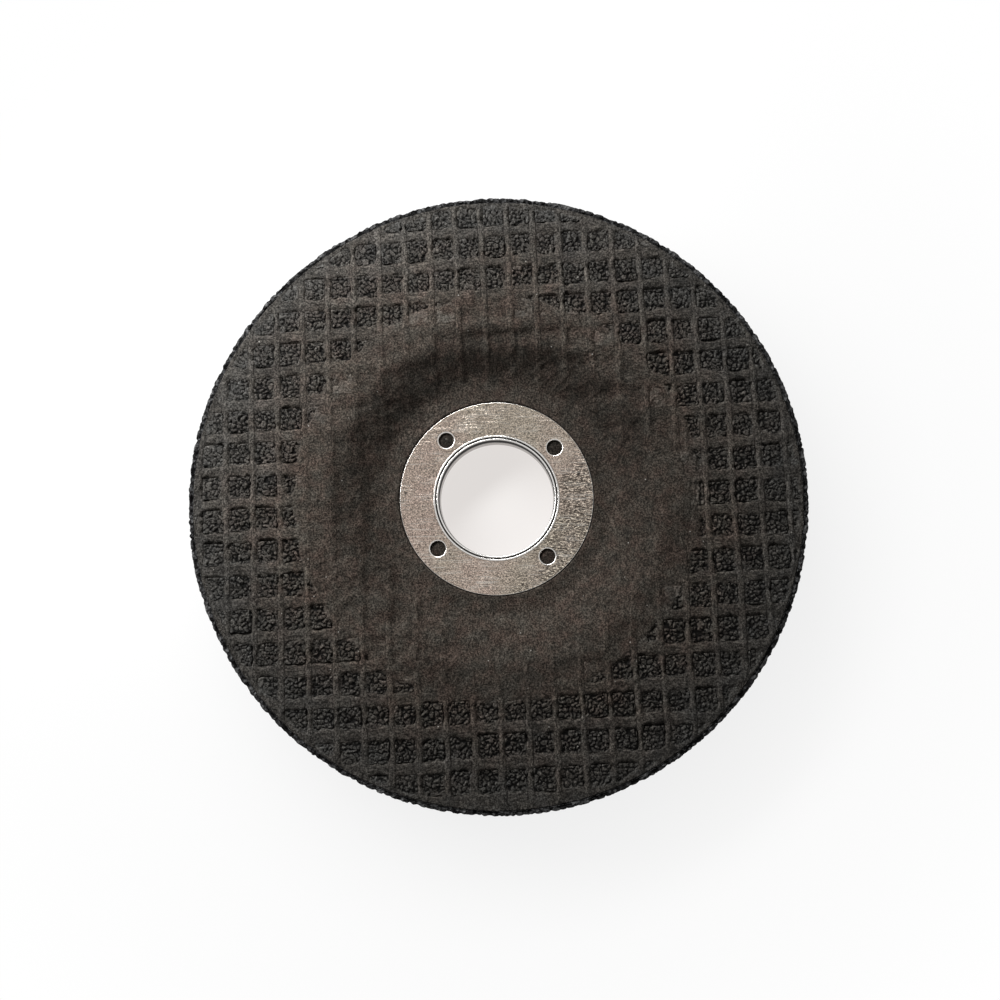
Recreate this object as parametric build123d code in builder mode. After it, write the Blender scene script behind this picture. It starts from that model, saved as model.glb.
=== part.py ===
from build123d import *
from math import cos, hypot, radians, sin
import os

# Depressed-centre grinding disc, lying on the back of its hub with the concave face up.
# The origin is the centre of the bore on the hub's back face, and +Z points to the concave side.
# All sizes are in millimetres.

# Disc
disc_diameter = 115.0
disc_thickness = 6.0
rim_edge_radius = 0.7
bare_rim_width = 0.9

# Dish: flat floor, sloping wall, flat outer ring, the same on both faces
dish_depth = 4.5
dish_floor_land = 5.8
dish_wall_run = 4.9
dish_bend_radius = 5.0

# Steel hub
bore_diameter = 22.23
bushing_sheet = 0.5
bushing_inner_bend = 0.2
flange_proud = 0.1
washer_ring_width = 6.835
washer_thickness = 0.5
washer_proud = 0.1
washer_fit = 0.05
lip_width = 0.96
lip_height = 0.32
lip_seat_depth = 0.1
lip_seat_gap = 0.05
hub_edge_radius = 0.12
seat_gap = 0.05
seat_slope_run = 0.2

# Small holes in the washer
hole_diameter = 2.8
hole_from_washer_bore = 3.085
hole_count = 4
hole_turn = 41.0
hole_edge_radius = 0.2

# Centre blotter
blotter_land = 8.0
blotter_thickness = 0.15

# Reinforcing mesh: a sheet with an open gap between the strands, and raised warp strands
mesh_thickness = 0.5
strand_relief = 0.15
strand_shoulder = 0.1
warp_pitch = 4.96
warp_strand_width = 1.2
weft_pitch = 6.2
weft_strand_width = 2.25
weave_turn = 2.38
weave_skew = 0.87
weave_x = 1.55
weave_y = 4.45
gap_to_blotter = 1.3
gap_to_mesh_edge = 1.1

# Radii that follow
disc_radius = disc_diameter / 2
bore_radius = bore_diameter / 2
neck_radius = bore_radius + bushing_sheet
lip_foot_radius = bore_radius + lip_width
washer_bore_radius = neck_radius + washer_fit
washer_radius = washer_bore_radius + washer_ring_width
flange_radius = washer_radius
dish_floor_radius = washer_radius + dish_floor_land
dish_shoulder_radius = dish_floor_radius + dish_wall_run
blotter_radius = dish_shoulder_radius + blotter_land
mesh_radius = disc_radius - bare_rim_width
back_mesh_hole_radius = neck_radius + bushing_inner_bend

# Gaps and raised strands of the mesh
gap_width = warp_pitch - warp_strand_width
gap_height = weft_pitch - weft_strand_width
raised_width = warp_strand_width - 2 * strand_shoulder

# Levels on the flat outer ring, from the back face up. On the hub they are lower by dish_depth.
back_crest = flange_proud + dish_depth
back_sheet = back_crest + strand_relief
back_core = back_sheet + mesh_thickness
front_crest = back_crest + disc_thickness
front_sheet = front_crest - strand_relief
front_core = front_sheet - mesh_thickness

# The steel parts are let into both faces of the hub
washer_top = front_sheet - dish_depth + blotter_thickness + washer_proud
washer_seat = washer_top - washer_thickness
lip_seat = washer_top - lip_seat_depth
washer_sink = front_sheet - dish_depth + blotter_thickness - washer_seat
flange_sink = bushing_sheet - (back_sheet - dish_depth)


def pressed_line(level, inner, outer, steel_radius, step):
    """Half section of one pressed face, from the hole out, with a step at the seat of the steel part."""
    seat_radius = steel_radius + seat_gap
    hub_level = level - dish_depth
    return FilletPolyline(
        (inner, hub_level + step),
        (seat_radius, hub_level + step),
        (seat_radius + seat_slope_run, hub_level),
        (dish_floor_radius, hub_level),
        (dish_shoulder_radius, level),
        (outer, level),
        radius=(0, 0, dish_bend_radius, dish_bend_radius),
    )


def front_line(level, outer):
    """A face on the concave side, let down under the washer."""
    return pressed_line(level, neck_radius, outer, washer_radius, -washer_sink)


def back_line(level, inner, outer):
    """A face on the convex side, let up over the flange."""
    return pressed_line(level, inner, outer, flange_radius, flange_sink)


def gap_corners():
    """The four corners of one gap about its centre. Its sides run along the slightly skewed strands."""
    warp_angle = radians(weave_turn)
    weft_angle = radians(weave_turn + weave_skew)
    half_width = gap_width / 2 / cos(radians(weave_skew))
    half_height = gap_height / 2 / cos(radians(weave_skew))
    corners = []
    for side, end in ((-1, -1), (1, -1), (1, 1), (-1, 1)):
        x = side * half_width * cos(weft_angle) - end * half_height * sin(warp_angle)
        y = side * half_width * sin(weft_angle) + end * half_height * cos(warp_angle)
        corners.append((x, y))
    return corners


def gap_places():
    """Centres of the gaps that lie whole in the ring between the blotter and the rim."""
    warp_angle = radians(weave_turn)
    weft_angle = radians(weave_turn + weave_skew)
    column_step = warp_pitch / cos(radians(weave_skew))
    row_step = weft_pitch / cos(radians(weave_skew))
    steps = int(disc_diameter / min(warp_pitch, weft_pitch))
    places = []
    for column in range(-steps, steps + 1):
        for row in range(-steps, steps + 1):
            x = weave_x + column * column_step * cos(weft_angle) - row * row_step * sin(warp_angle)
            y = weave_y + column * column_step * sin(weft_angle) + row * row_step * cos(warp_angle)
            corner_radii = [hypot(x + dx, y + dy) for dx, dy in gap_corners()]
            clear_of_blotter = min(corner_radii) > blotter_radius + gap_to_blotter
            clear_of_rim = max(corner_radii) < mesh_radius - gap_to_mesh_edge
            if clear_of_blotter and clear_of_rim:
                places.append((x, y))
    return places


def gaps_sketch(level):
    """All the whole gaps of one mesh, at a level."""
    with BuildSketch(Plane.XY.offset(level)) as gaps:
        with Locations(*gap_places()):
            Polygon(*gap_corners(), align=None)
    return gaps.sketch


def warp_sketch(level, inner_radius):
    """The raised strands of one mesh on the flat outer ring, at a level."""
    strands = 2 * int(disc_diameter / warp_pitch)
    with BuildSketch(Plane.XY.offset(level)) as warp:
        with Locations(Location((weave_x, weave_y, 0), (0, 0, weave_turn))):
            with GridLocations(warp_pitch, weft_pitch, strands, 1):
                Rectangle(raised_width, 2 * disc_diameter)
        Circle(mesh_radius, mode=Mode.INTERSECT)
        Circle(inner_radius, mode=Mode.SUBTRACT)
    return warp.sketch


# Abrasive body: a dished disc with a low lip at the rim, level with the mesh that lies inside it
with BuildPart() as abrasive_body:
    with BuildSketch(Plane.XZ):
        with BuildLine():
            lower = back_line(back_core, neck_radius, mesh_radius)
            upper = front_line(front_core, mesh_radius)
            Polyline(
                (mesh_radius, back_core),
                (mesh_radius, back_sheet),
                (disc_radius, back_sheet),
                (disc_radius, front_sheet),
                (mesh_radius, front_sheet),
                (mesh_radius, front_core),
            )
            Line(lower @ 0, upper @ 0)
        make_face()
    revolve(axis=Axis.Z)
    circles = abrasive_body.edges().filter_by(GeomType.CIRCLE)
    fillet(circles.filter_by(lambda edge: edge.radius > disc_radius - 0.01), rim_edge_radius)
abrasive_body.part.label = "abrasive_body"

# Front mesh: pressed into the concave face, open between its strands, solid where the blotter hides it
with BuildPart() as front_mesh:
    with BuildSketch(Plane.XZ):
        with BuildLine():
            lower = front_line(front_core, mesh_radius)
            upper = front_line(front_sheet, mesh_radius)
            Line(lower @ 0, upper @ 0)
            Line(lower @ 1, upper @ 1)
        make_face()
    revolve(axis=Axis.Z)
    extrude(gaps_sketch(front_core), amount=mesh_thickness, mode=Mode.SUBTRACT)
    extrude(warp_sketch(front_sheet, blotter_radius), amount=strand_relief)
front_mesh.part.label = "front_mesh"

# Back mesh: the same on the convex face, with its strands on the underside
with BuildPart() as back_mesh:
    with BuildSketch(Plane.XZ):
        with BuildLine():
            lower = back_line(back_sheet, back_mesh_hole_radius, mesh_radius)
            upper = back_line(back_core, back_mesh_hole_radius, mesh_radius)
            Line(lower @ 0, upper @ 0)
            Line(lower @ 1, upper @ 1)
        make_face()
    revolve(axis=Axis.Z)
    extrude(gaps_sketch(back_sheet), amount=mesh_thickness, mode=Mode.SUBTRACT)
    extrude(warp_sketch(back_crest, blotter_radius), amount=strand_relief)
back_mesh.part.label = "back_mesh"

# Centre blotter: thin paper over the mesh, from the neck of the bushing up the wall of the dish
with BuildPart() as centre_blotter:
    with BuildSketch(Plane.XZ):
        with BuildLine():
            lower = front_line(front_sheet, blotter_radius)
            upper = front_line(front_sheet + blotter_thickness, blotter_radius)
            Line(lower @ 0, upper @ 0)
            Line(lower @ 1, upper @ 1)
        make_face()
    revolve(axis=Axis.Z)
centre_blotter.part.label = "centre_blotter"

# Hub bushing: one piece of sheet steel, with a flange on the back and a lip rolled over the washer
with BuildPart() as hub_bushing:
    with BuildSketch(Plane.XZ):
        with BuildLine():
            FilletPolyline(
                (flange_radius, 0),
                (bore_radius, 0),
                (bore_radius, lip_seat),
                radius=bushing_sheet + bushing_inner_bend,
            )
            ThreePointArc(
                (bore_radius, lip_seat),
                (bore_radius + lip_width / 2, washer_top + lip_height),
                (lip_foot_radius, lip_seat),
            )
            FilletPolyline(
                (lip_foot_radius, lip_seat),
                (neck_radius, lip_seat),
                (neck_radius, bushing_sheet),
                (flange_radius, bushing_sheet),
                (flange_radius, 0),
                radius=(0, bushing_inner_bend, 0),
            )
        make_face()
    revolve(axis=Axis.Z)
    circles = hub_bushing.edges().filter_by(GeomType.CIRCLE)
    fillet(circles.filter_by(lambda edge: edge.radius > flange_radius - 0.01), hub_edge_radius)
hub_bushing.part.label = "hub_bushing"

# Hub washer: punched sheet steel with rolled-over edges, and a coined seat where the lip holds it down
with BuildPart() as hub_washer:
    with BuildSketch(Plane.XY.offset(washer_seat)):
        Circle(washer_radius)
        Circle(washer_bore_radius, mode=Mode.SUBTRACT)
        with PolarLocations(washer_bore_radius + hole_from_washer_bore, hole_count, start_angle=hole_turn):
            Circle(hole_diameter / 2, mode=Mode.SUBTRACT)
    extrude(amount=washer_thickness)
    with BuildSketch(Plane.XY.offset(lip_seat)):
        Circle(lip_foot_radius + lip_seat_gap)
    extrude(amount=lip_seat_depth, mode=Mode.SUBTRACT)
    top_circles = hub_washer.faces().sort_by(Axis.Z)[-1].edges()
    fillet(top_circles.filter_by(lambda edge: edge.radius < hole_diameter), hole_edge_radius)
    circles = hub_washer.edges().filter_by(GeomType.CIRCLE)
    fillet(circles.filter_by(lambda edge: edge.radius > washer_radius - 0.01), hub_edge_radius)
hub_washer.part.label = "hub_washer"

os.makedirs("parts", exist_ok=True)
export_step(abrasive_body.part, "parts/abrasive_body.step")
export_step(front_mesh.part, "parts/front_mesh.step")
export_step(back_mesh.part, "parts/back_mesh.step")
export_step(centre_blotter.part, "parts/centre_blotter.step")
export_step(hub_bushing.part, "parts/hub_bushing.step")
export_step(hub_washer.part, "parts/hub_washer.step")
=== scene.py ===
import math

import bpy
import numpy as np
from mathutils import Matrix, Vector


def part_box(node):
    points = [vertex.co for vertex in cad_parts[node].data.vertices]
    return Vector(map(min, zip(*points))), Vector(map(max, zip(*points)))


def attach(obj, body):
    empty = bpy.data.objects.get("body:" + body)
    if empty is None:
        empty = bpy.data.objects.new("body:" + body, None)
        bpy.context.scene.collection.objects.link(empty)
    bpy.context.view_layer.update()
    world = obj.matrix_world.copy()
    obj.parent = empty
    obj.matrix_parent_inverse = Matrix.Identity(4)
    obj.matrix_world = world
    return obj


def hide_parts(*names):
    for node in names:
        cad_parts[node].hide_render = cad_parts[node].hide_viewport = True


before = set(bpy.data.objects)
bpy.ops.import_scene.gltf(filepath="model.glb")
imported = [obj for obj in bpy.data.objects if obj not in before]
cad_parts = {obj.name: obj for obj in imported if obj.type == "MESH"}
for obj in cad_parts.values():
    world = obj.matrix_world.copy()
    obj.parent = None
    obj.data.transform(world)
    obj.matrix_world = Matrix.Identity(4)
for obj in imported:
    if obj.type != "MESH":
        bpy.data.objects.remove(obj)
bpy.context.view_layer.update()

mm = 0.001

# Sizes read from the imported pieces, in millimetres
disc_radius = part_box("abrasive_body")[1].x / mm
mesh_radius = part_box("front_mesh")[1].x / mm
blotter_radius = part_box("centre_blotter")[1].x / mm
washer_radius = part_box("hub_washer")[1].x / mm
washer_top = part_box("hub_washer")[1].z / mm
washer_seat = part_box("hub_washer")[0].z / mm
front_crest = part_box("front_mesh")[1].z / mm
lip_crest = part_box("hub_bushing")[1].z / mm

# Sizes that the disc is made to, in millimetres
disc_thickness = 6.0
dish_depth = 4.5
dish_floor_radius = washer_radius + 5.8
dish_shoulder_radius = dish_floor_radius + 4.9
dish_bend_radius = 5.0
mesh_thickness = 0.5
strand_relief = 0.15
blotter_thickness = 0.15
bore_radius = 11.115
bushing_sheet = 0.5
bushing_outer_bend = 0.7
bushing_inner_bend = 0.2
flange_edge = 0.12
lip_width = 0.96
lip_seat_depth = 0.1
seat_gap = 0.05
hole_count = 4
hole_circle = 14.75
hole_radius = 1.4
hole_turn = 41.0

# The weave, in millimetres and degrees
warp_pitch = 4.96
weft_pitch = 6.2
gap_width = 3.76
gap_height = 3.95
gap_corner = 0.62
weave_x = 1.55
weave_y = 4.45
weave_turn = 2.38
weave_skew = 0.87
warp_angle = math.radians(weave_turn)
weft_angle = math.radians(weave_turn + weave_skew)

# Radii and levels that follow. Sheets and crests are those of the flat outer ring.
neck_radius = bore_radius + bushing_sheet
lip_foot = bore_radius + lip_width
lip_seat = washer_top - lip_seat_depth
front_sheet = front_crest - strand_relief
front_core = front_sheet - mesh_thickness
back_crest = front_crest - disc_thickness
back_sheet = back_crest + strand_relief
back_core = back_sheet + mesh_thickness


# Helpers for shapes

def deselect():
    """Back to object mode, with nothing selected."""
    if bpy.context.object is not None and bpy.context.object.mode != "OBJECT":
        bpy.ops.object.mode_set(mode="OBJECT")
    bpy.ops.object.select_all(action="DESELECT")


def smoothstep(low, high, value):
    """A smooth step from 0 at low to 1 at high, and a falling one where low is above high."""
    t = np.clip((value - low) / (high - low), 0.0, 1.0)
    return t * t * (3.0 - 2.0 * t)


def scatter(ix, iy, iz, seed):
    """A fixed random number from 0 to 1 for each lattice point: the last digits of a steep sine."""
    mixed = np.sin(ix * 127.1 + iy * 311.7 + iz * 74.7 + seed * 53.3) * 43758.5453
    return mixed - np.floor(mixed)


def soft_noise(x, y, size, seed):
    """Smooth noise from -1 to 1 with bumps about size wide."""
    gx, gy = x / size, y / size
    ix, iy = np.floor(gx), np.floor(gy)
    fx, fy = gx - ix, gy - iy
    fx, fy = fx * fx * (3 - 2 * fx), fy * fy * (3 - 2 * fy)
    low = scatter(ix, iy, 0, seed) * (1 - fx) + scatter(ix + 1, iy, 0, seed) * fx
    high = scatter(ix, iy + 1, 0, seed) * (1 - fx) + scatter(ix + 1, iy + 1, 0, seed) * fx
    return 2.0 * (low * (1 - fy) + high * fy) - 1.0


def grains(x, y, z, size, seed):
    """Height from 0 to 1 of packed round grains about size wide."""
    gx, gy, gz = x / size, y / size, z / size
    ix, iy, iz = np.floor(gx), np.floor(gy), np.floor(gz)
    best = np.zeros_like(gx)
    for ox in (-1, 0, 1):
        for oy in (-1, 0, 1):
            for oz in (-1, 0, 1):
                cx, cy, cz = ix + ox, iy + oy, iz + oz
                px = cx + 0.5 + 0.75 * (scatter(cx, cy, cz, seed) - 0.5)
                py = cy + 0.5 + 0.75 * (scatter(cx, cy, cz, seed + 1) - 0.5)
                pz = cz + 0.5 + 0.75 * (scatter(cx, cy, cz, seed + 2) - 0.5)
                radius = 0.5 + 0.35 * scatter(cx, cy, cz, seed + 3)
                tall = 0.55 + 0.45 * scatter(cx, cy, cz, seed + 4)
                away = np.sqrt((gx - px) ** 2 + (gy - py) ** 2 + (gz - pz) ** 2)
                dome = np.sqrt(np.clip(1.0 - (away / radius) ** 2, 0.0, 1.0))
                best = np.maximum(best, tall * dome)
    return best


def creases(x, y, size, seed):
    """Crumpled lumps about size wide: 1 in their creases and 0 on top, and a tone for each lump."""
    wx = x / size + 0.5 * soft_noise(x, y, 1.1 * size, seed + 7)
    wy = y / size + 0.5 * soft_noise(x, y, 1.1 * size, seed + 8)
    ix, iy = np.floor(wx), np.floor(wy)
    nearest = np.full_like(wx, 9.0)
    second = np.full_like(wx, 9.0)
    tone = np.zeros_like(wx)
    for ox in (-1, 0, 1):
        for oy in (-1, 0, 1):
            cx, cy = ix + ox, iy + oy
            px = cx + 0.5 + 0.85 * (scatter(cx, cy, 0, seed) - 0.5)
            py = cy + 0.5 + 0.85 * (scatter(cx, cy, 0, seed + 1) - 0.5)
            away = np.hypot(wx - px, wy - py)
            second = np.minimum(second, np.maximum(nearest, away))
            tone = np.where(away < nearest, scatter(cx, cy, 0, seed + 3), tone)
            nearest = np.minimum(nearest, away)
    width = 0.28 + 0.17 * soft_noise(x, y, 1.5 * size, seed + 2)
    return 1.0 - smoothstep(0.03, width, second - nearest), tone


def arc(centre_radius, centre_height, size, start, end, steps):
    """Points (radius, height) along an arc of a section, between two angles in degrees."""
    angles = np.radians(np.linspace(start, end, steps))
    return [(centre_radius + size * math.cos(a), centre_height + size * math.sin(a)) for a in angles]


def dish(radius):
    """Height of a pressed face over its level on the hub, with round bends at foot and shoulder."""
    run = dish_shoulder_radius - dish_floor_radius
    slope = math.atan2(dish_depth, run)
    reach = dish_bend_radius * math.tan(slope / 2)
    foot = dish_floor_radius - reach
    shoulder = dish_shoulder_radius + reach
    inward = np.clip(radius - foot, 0, dish_bend_radius)
    outward = np.clip(shoulder - radius, 0, dish_bend_radius)
    low_bend = dish_bend_radius - np.sqrt(dish_bend_radius ** 2 - inward ** 2)
    high_bend = dish_depth - dish_bend_radius + np.sqrt(dish_bend_radius ** 2 - outward ** 2)
    wall = (radius - dish_floor_radius) * math.tan(slope)
    height = np.where(radius < dish_floor_radius + reach * math.cos(slope), low_bend, wall)
    height = np.where(radius > dish_shoulder_radius - reach * math.cos(slope), high_bend, height)
    return height


def turned(name, section, steps):
    """A closed ring, turned about Z from the points (radius, height) of its section, in millimetres."""
    deselect()
    bpy.ops.mesh.primitive_circle_add(vertices=len(section), radius=disc_radius * mm)
    piece = bpy.context.object
    piece.name = piece.data.name = name
    for vertex, (radius, height) in zip(piece.data.vertices, section):
        vertex.co = (radius * mm, 0.0, height * mm)
    bpy.ops.object.modifier_add(type="SCREW")
    screw = piece.modifiers[-1]
    screw.angle = 2 * math.pi
    screw.steps = screw.render_steps = steps
    bpy.ops.object.modifier_apply(modifier=screw.name)
    bpy.ops.object.mode_set(mode="EDIT")
    bpy.ops.mesh.select_all(action="SELECT")
    bpy.ops.mesh.remove_doubles(threshold=0.002 * mm)
    bpy.ops.mesh.normals_make_consistent(inside=False)
    bpy.ops.object.mode_set(mode="OBJECT")
    bpy.ops.object.shade_smooth()
    return piece


def places_of(piece):
    """The piece's vertices in millimetres, one row each."""
    flat = np.empty(len(piece.data.vertices) * 3)
    piece.data.vertices.foreach_get("co", flat)
    return flat.reshape(-1, 3) / mm


def place(piece, points):
    """Moves the piece's vertices to new places in millimetres."""
    piece.data.vertices.foreach_set("co", (points * mm).ravel())
    piece.data.update()


def normals_of(piece):
    """The normal at each vertex, one row each."""
    flat = np.empty(len(piece.data.vertices) * 3, np.float32)
    piece.data.vertex_normals.foreach_get("vector", flat)
    return flat.reshape(-1, 3)


def mark(piece, name, values):
    """Keeps a number for each vertex, for the piece's material."""
    layer = piece.data.attributes.new(name, "FLOAT", "POINT")
    layer.data.foreach_set("value", np.asarray(values, np.float32))


# The weave

def weave_offsets(x, y):
    """Distance across the warp and along it from the middle gap, with the strands' slight wander."""
    sway_x = 0.16 * soft_noise(x, y, 14.0, 11) + 0.06 * soft_noise(x, y, 4.0, 12)
    sway_y = 0.18 * soft_noise(x, y, 15.0, 13) + 0.07 * soft_noise(x, y, 4.5, 14)
    dx, dy = x - weave_x, y - weave_y
    across = dx * math.cos(warp_angle) + dy * math.sin(warp_angle) + sway_x
    along = -dx * math.sin(weft_angle) + dy * math.cos(weft_angle) + sway_y
    return across, along


def gap_edge(across, along):
    """Distance outside the edge of the nearest gap, below zero inside it."""
    column, row = np.round(across / warp_pitch), np.round(along / weft_pitch)
    half_x = gap_width / 2 + 0.3 * (scatter(column, row, 0, 22) - 0.5) - gap_corner
    half_y = gap_height / 2 + 0.4 * (scatter(column, row, 0, 23) - 0.5) - gap_corner
    ax = np.abs(across - column * warp_pitch + 0.25 * (scatter(column, row, 0, 24) - 0.5)) - half_x
    ay = np.abs(along - row * weft_pitch + 0.3 * (scatter(column, row, 0, 25) - 0.5)) - half_y
    outside = np.hypot(np.maximum(ax, 0), np.maximum(ay, 0)) + np.minimum(np.maximum(ax, ay), 0)
    return outside - gap_corner


def gap_openness(x, y, inner, outer):
    """1 in a gap, 0 on a strand, faded out towards the inner and outer radius of the bare mesh."""
    across, along = weave_offsets(x, y)
    ragged = 0.3 * soft_noise(x, y, 0.75, 31) + 0.2 * soft_noise(x, y, 1.9, 32)
    openness = smoothstep(0.28, -0.32, gap_edge(across, along) + ragged)
    radius = np.hypot(x, y)
    frayed = 0.5 * soft_noise(x, y, 2.2, 33)
    openness *= smoothstep(outer, outer - 1.3, radius + frayed)
    openness *= smoothstep(inner, inner + 1.2, radius + frayed)
    return openness


def front_openness(x, y):
    """The open gaps of the front mesh, from the blotter's edge to the rim."""
    return gap_openness(x, y, blotter_radius + 0.1, mesh_radius - 0.5)


def strand_height(x, y):
    """Relief of the closed mesh, from 0 to 1: rounded warp strands over flat weft bands."""
    warp_half_width, weft_half_width = 0.75, 1.45
    across, along = weave_offsets(x, y)
    from_warp = warp_pitch / 2 - np.abs(across - np.round(across / warp_pitch) * warp_pitch)
    from_weft = weft_pitch / 2 - np.abs(along - np.round(along / weft_pitch) * weft_pitch)
    warp = np.sqrt(np.clip(1 - (from_warp / warp_half_width) ** 2, 0, 1))
    weft = np.sqrt(np.clip(1 - (from_weft / weft_half_width) ** 2, 0, 1))
    return np.maximum(0.95 * warp, 0.6 * weft)


def closed_mesh(x, y):
    """Height of the strands over the mesh's sheet, with small lumps of resin."""
    height = 0.19 * strand_height(x, y) - 0.1 + 0.035 * soft_noise(x, y, 1.1, 41)
    return height + 0.035 * soft_noise(x, y, 3.7, 42) + 0.03 * soft_noise(x / 3, y, 0.6, 44)


def mark_strands(piece, x, y, radius):
    """Keeps where the warp strands run, and how plainly they show, which fades at the rim."""
    mark(piece, "lines", smoothstep(mesh_radius - 0.5, mesh_radius - 2.5, radius))
    mark(piece, "warp_step", weave_offsets(x, y)[0] / warp_pitch)


def front_web():
    """The mesh on the concave face round the blotter: strands, and gaps down to the abrasive."""
    inner = blotter_radius - 0.9
    gap_floor = front_core - 0.2
    underside = gap_floor - 0.12
    section = [(r, front_sheet) for r in np.linspace(inner, mesh_radius, 80)]
    section += [(mesh_radius, underside), (inner, underside)]
    piece = turned("front_mesh_weave", section, steps=1160)
    points = places_of(piece)
    x, y, z = points.T
    top = z > front_core
    radius = np.hypot(x, y)
    openness = front_openness(x, y)
    under_paper = smoothstep(blotter_radius + 0.03, blotter_radius - 0.4, radius)
    closed = front_sheet + closed_mesh(x, y) - 0.06 * under_paper
    at_rim = smoothstep(mesh_radius - 1.2, mesh_radius, radius)
    closed = closed * (1 - at_rim) + (front_sheet - 0.03) * at_rim
    height = closed * (1 - openness) + gap_floor * openness
    points[:, 2] = np.where(top, np.minimum(height, front_crest), z)
    frayed = 0.22 * (0.5 + 0.5 * soft_noise(x, y, 0.8, 43))
    frayed = np.where(radius > mesh_radius - 0.02, frayed, 0)
    points[:, :2] *= (1 - frayed / radius)[:, None]
    place(piece, points)
    # The openness of the gaps, which the material turns into painted shade.
    mark(piece, "gap", openness)
    mark(piece, "tone", np.ones(len(points)))
    mark_strands(piece, x, y, radius)
    return piece


def gap_centres(inner, outer):
    """Centres of all the gaps whose middle lies between two radii."""
    skew = math.cos(weft_angle - warp_angle)
    steps = int(2 * disc_radius / warp_pitch)
    centres = []
    for column in range(-steps, steps + 1):
        for row in range(-steps, steps + 1):
            a, b = column * warp_pitch / skew, row * weft_pitch / skew
            x = weave_x + a * math.cos(weft_angle) - b * math.sin(warp_angle)
            y = weave_y + a * math.sin(weft_angle) + b * math.cos(warp_angle)
            if inner < math.hypot(x, y) < outer:
                centres.append((x, y))
    return centres


def grit_pad(name):
    """One closed pad a little larger than a gap, flat, with its base on the disc's middle."""
    margin = 0.4
    deselect()
    bpy.ops.mesh.primitive_grid_add(x_subdivisions=23, y_subdivisions=24, size=mm)
    pad = bpy.context.object
    pad.name = pad.data.name = name
    points = places_of(pad)
    mark(pad, "pad_edge", 2 * np.abs(points[:, :2]).max(axis=1))
    points[:, 0] *= gap_width + margin
    points[:, 1] *= gap_height + margin
    place(pad, points)
    bpy.ops.object.mode_set(mode="EDIT")
    bpy.ops.mesh.select_mode(type="EDGE")
    bpy.ops.mesh.select_all(action="DESELECT")
    bpy.ops.mesh.select_non_manifold()
    bpy.ops.mesh.edge_face_add()
    bpy.ops.object.mode_set(mode="OBJECT")
    return pad


def pads_in_gaps(name, centres, base_level):
    """A pad at each gap, in line with the warp, all joined to one piece."""
    first = grit_pad(name)
    pads = [first]
    for _ in centres[1:]:
        pad = first.copy()
        pad.data = first.data.copy()
        bpy.context.collection.objects.link(pad)
        pads.append(pad)
    deselect()
    turn = Matrix.Rotation(warp_angle, 4, "Z")
    for pad, (x, y) in zip(pads, centres):
        pad.data.transform(Matrix.Translation((x * mm, y * mm, base_level * mm)) @ turn)
        pad.select_set(True)
    bpy.context.view_layer.objects.active = first
    bpy.ops.object.join()
    bpy.ops.object.mode_set(mode="EDIT")
    bpy.ops.mesh.select_all(action="SELECT")
    bpy.ops.mesh.normals_make_consistent(inside=False)
    bpy.ops.object.mode_set(mode="OBJECT")
    bpy.ops.object.shade_smooth()
    return first


def front_grit(name, centres):
    """The abrasive that swells up in some gaps of the front mesh, crumpled and creased."""
    base_level = front_core - 0.22
    lowest, highest = 0.04, 0.85
    worn_pits = 49.0, 54.5
    piece = pads_in_gaps(name, centres, base_level)
    points = places_of(piece)
    x, y = points.T[:2]
    pad_edge = np.empty(len(points), np.float32)
    piece.data.attributes["pad_edge"].data.foreach_get("value", pad_edge)
    lift = smoothstep(1.0, 0.93, pad_edge)
    across, along = weave_offsets(x, y)
    column, row = np.round(across / warp_pitch), np.round(along / weft_pitch)
    openness = front_openness(x, y)
    crease, tone = creases(x, y, size=0.92, seed=61)
    fine_crease, fine_tone = creases(x, y, size=0.55, seed=71)
    crease = np.maximum(crease, 0.5 * fine_crease) * smoothstep(0.1, 0.6, openness)
    radius = np.hypot(x, y)
    near_rim = 0.6 * smoothstep(*worn_pits, radius)
    swell = 0.61 + 0.08 * scatter(column, row, 0, 51) + 0.08 * soft_noise(x, y, 1.5, 62)
    swell += 0.05 * near_rim * openness
    crease_depth = 0.46 - 0.18 * near_rim
    height = swell + 0.14 * (tone - 0.5) - crease_depth * crease - 0.08 * (1 - openness)
    points[:, 2] = base_level + lift * np.clip(height, lowest, highest)
    points[:, :2] /= np.maximum(radius / (mesh_radius - 0.05), 1.0)[:, None]
    place(piece, points)
    # Painted shade for the material in the creases, weaker towards the rim.
    mark(piece, "crease", crease * (1 - 0.4 * near_rim))
    mark(piece, "tone", 0.7 * tone + 0.3 * fine_tone)
    return piece


# The paper

def hole_centres():
    """Centres of the small holes in the washer."""
    turns = [math.radians(hole_turn + 360 / hole_count * index) for index in range(hole_count)]
    return [(hole_circle * math.cos(turn), hole_circle * math.sin(turn)) for turn in turns]


def paper_height(radius):
    """Rise of the paper from the hub: sharp where it leaves the floor, slow into the outer ring."""
    slope_radii = [21.5, 22.0, 23.0, 24.0, 26.0, 28.0, 29.0, 30.0, 31.0, 32.0, 33.0, 34.0]
    slopes = [0.0, 0.185, 0.488, 0.554, 0.532, 0.488, 0.466, 0.414, 0.325, 0.16, 0.04, 0.0]
    steps = np.linspace(slope_radii[0], slope_radii[-1], 251)
    rise = np.cumsum(np.interp(steps, slope_radii, slopes))
    return np.interp(radius, steps, dish_depth * rise / rise[-1])


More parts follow.
